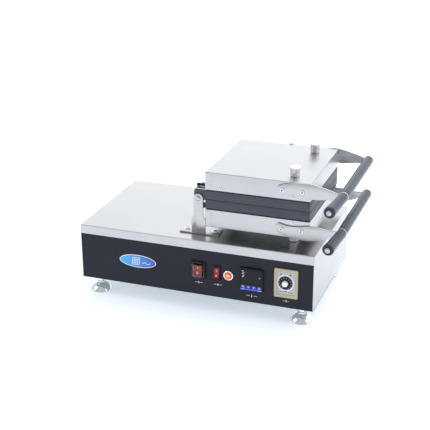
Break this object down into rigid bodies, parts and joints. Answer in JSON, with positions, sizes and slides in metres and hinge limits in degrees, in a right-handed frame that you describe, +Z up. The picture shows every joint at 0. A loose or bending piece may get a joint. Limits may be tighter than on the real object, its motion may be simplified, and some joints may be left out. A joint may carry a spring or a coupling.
{
  "type": "turn-over waffle iron",
  "caption": "Countertop waffle iron: a hinged two-plate head opens and turns over on a rod, above a steel base with switches, a temperature controller and a timer.",
  "frame": {"origin": "bottom centre of the whole machine, handles and mains gland included, on the surface it stands on", "axes": "+X to the right along the base's long side as seen from the controls, +Y to the back, +Z up"},
  "size_m": [0.5542, 0.3627, 0.3107],
  "materials": {
    "stainless_sheet": "fine brushed, 1.2 to 1.5 mm sheet",
    "stainless_plate": "brushed, 3 mm plate",
    "stainless_turned": "turned",
    "aluminium_turned": "satin, turned",
    "chrome": "bright plated",
    "black_panel": "satin black with a blue cast",
    "black_plastic": "fine moulded texture",
    "red_plastic": "glossy, translucent",
    "clear_boot": "clear soft vinyl",
    "amber_lens": "glossy, translucent, domed",
    "dark_window": "smoked, flat",
    "blue_plastic": "satin keypad film",
    "cream_plastic": "satin moulded",
    "grey_plastic": "satin moulded",
    "white_plastic": "glossy moulded",
    "blue_badge": "domed, blue shading from light to deep",
    "cast_plate": "blue-black non-stick coating",
    "heater_sheath": "oxidised sheath",
    "ceramic_wool": "matted wool board",
    "handle_bakelite": "semi-gloss, blue-black"
  },
  "bodies": {
    "base": {"base_cover": "stainless_sheet", "front_panel": "black_panel", "back_panel": "stainless_sheet", "bottom_plate": "stainless_sheet", "power_switch_body": "black_plastic", "power_switch_boot": "clear_boot", "alarm_switch_body": "black_plastic", "pilot_lamp_bezel": "chrome", "pilot_lamp_lens": "amber_lens", "controller_body": "black_plastic", "controller_window": "dark_window", "timer_frame": "cream_plastic", "timer_body": "grey_plastic", "badge_plate": "blue_badge", "contactor": "black_plastic", "terminal_block": "white_plastic", "buzzer": "black_plastic", "mains_gland": "black_plastic", "hinge_bracket_front": "stainless_plate", "hinge_bracket_rear": "stainless_plate", "hinge_rod": "stainless_turned"},
    "lower_half": {"lower_plate": "cast_plate", "lower_mount_plate": "stainless_sheet", "lower_heater": "heater_sheath", "lower_insulation": "ceramic_wool", "lower_casing": "stainless_sheet", "lower_lead_gland": "stainless_turned", "lower_standoff_front": "aluminium_turned", "lower_standoff_rear": "aluminium_turned", "lower_arm_front": "stainless_plate", "lower_arm_rear": "stainless_plate", "lower_long_grip": "handle_bakelite", "lower_front_grip": "handle_bakelite", "lower_grip_bolt": "chrome"},
    "upper_half": {"upper_plate": "cast_plate", "upper_mount_plate": "stainless_sheet", "upper_heater": "heater_sheath", "upper_insulation": "ceramic_wool", "upper_casing": "stainless_sheet", "upper_lead_gland": "stainless_turned", "upper_standoff_front": "aluminium_turned", "upper_standoff_rear": "aluminium_turned", "upper_arm_front": "stainless_plate", "upper_arm_rear": "stainless_plate", "upper_long_grip": "handle_bakelite", "upper_front_grip": "handle_bakelite", "upper_grip_bolt": "chrome"},
    "power_paddle": {"power_rocker": "red_plastic"},
    "alarm_paddle": {"alarm_rocker": "red_plastic"},
    "set_key": {"key_set": "blue_plastic"},
    "shift_key": {"key_shift": "blue_plastic"},
    "down_key": {"key_down": "blue_plastic"},
    "up_key": {"key_up": "blue_plastic"},
    "timer_setting": {"timer_dial": "black_plastic", "timer_knob": "white_plastic"},
    "front_left_foot": {"foot_front_left": "chrome"},
    "front_right_foot": {"foot_front_right": "chrome"},
    "rear_left_foot": {"foot_rear_left": "chrome"},
    "rear_right_foot": {"foot_rear_right": "chrome"}
  },
  "joints": [
    {"name": "head_flip", "type": "hinge", "parent": "base", "child": "lower_half", "pos_m": [-0.0271, 0.0223, 0.233], "axis": [0, -1, 0], "range_deg": [0, 180]},
    {"name": "upper_open", "type": "hinge", "parent": "lower_half", "child": "upper_half", "pos_m": [-0.0271, 0.0223, 0.233], "axis": [0, 1, 0], "range_deg": [-100, 0]},
    {"name": "power_rock", "type": "hinge", "parent": "base", "child": "power_paddle", "pos_m": [-0.0166, -0.1152, 0.0912], "axis": [1, 0, 0], "range_deg": [0, 20]},
    {"name": "alarm_rock", "type": "hinge", "parent": "base", "child": "alarm_paddle", "pos_m": [0.0229, -0.1152, 0.09], "axis": [1, 0, 0], "range_deg": [0, 20]},
    {"name": "set_press", "type": "slide", "parent": "base", "child": "set_key", "axis": [0, 1, 0], "range_m": [0, 0.0008], "stiffness_N_per_m": 600},
    {"name": "shift_press", "type": "slide", "parent": "base", "child": "shift_key", "axis": [0, 1, 0], "range_m": [0, 0.0008], "stiffness_N_per_m": 600},
    {"name": "down_press", "type": "slide", "parent": "base", "child": "down_key", "axis": [0, 1, 0], "range_m": [0, 0.0008], "stiffness_N_per_m": 600},
    {"name": "up_press", "type": "slide", "parent": "base", "child": "up_key", "axis": [0, 1, 0], "range_m": [0, 0.0008], "stiffness_N_per_m": 600},
    {"name": "timer_turn", "type": "hinge", "parent": "base", "child": "timer_setting", "pos_m": [0.1659, -0.1195, 0.091], "axis": [0, 1, 0], "range_deg": [0, 300]},
    {"name": "front_left_foot_turn", "type": "hinge", "parent": "base", "child": "front_left_foot", "pos_m": [-0.2476, -0.0932, 0], "axis": [0, 0, 1], "continuous": true},
    {"name": "front_right_foot_turn", "type": "hinge", "parent": "base", "child": "front_right_foot", "pos_m": [0.1934, -0.0932, 0], "axis": [0, 0, 1], "continuous": true},
    {"name": "rear_left_foot_turn", "type": "hinge", "parent": "base", "child": "rear_left_foot", "pos_m": [-0.2476, 0.1378, 0], "axis": [0, 0, 1], "continuous": true},
    {"name": "rear_right_foot_turn", "type": "hinge", "parent": "base", "child": "rear_right_foot", "pos_m": [0.1934, 0.1378, 0], "axis": [0, 0, 1], "continuous": true}
  ]
}
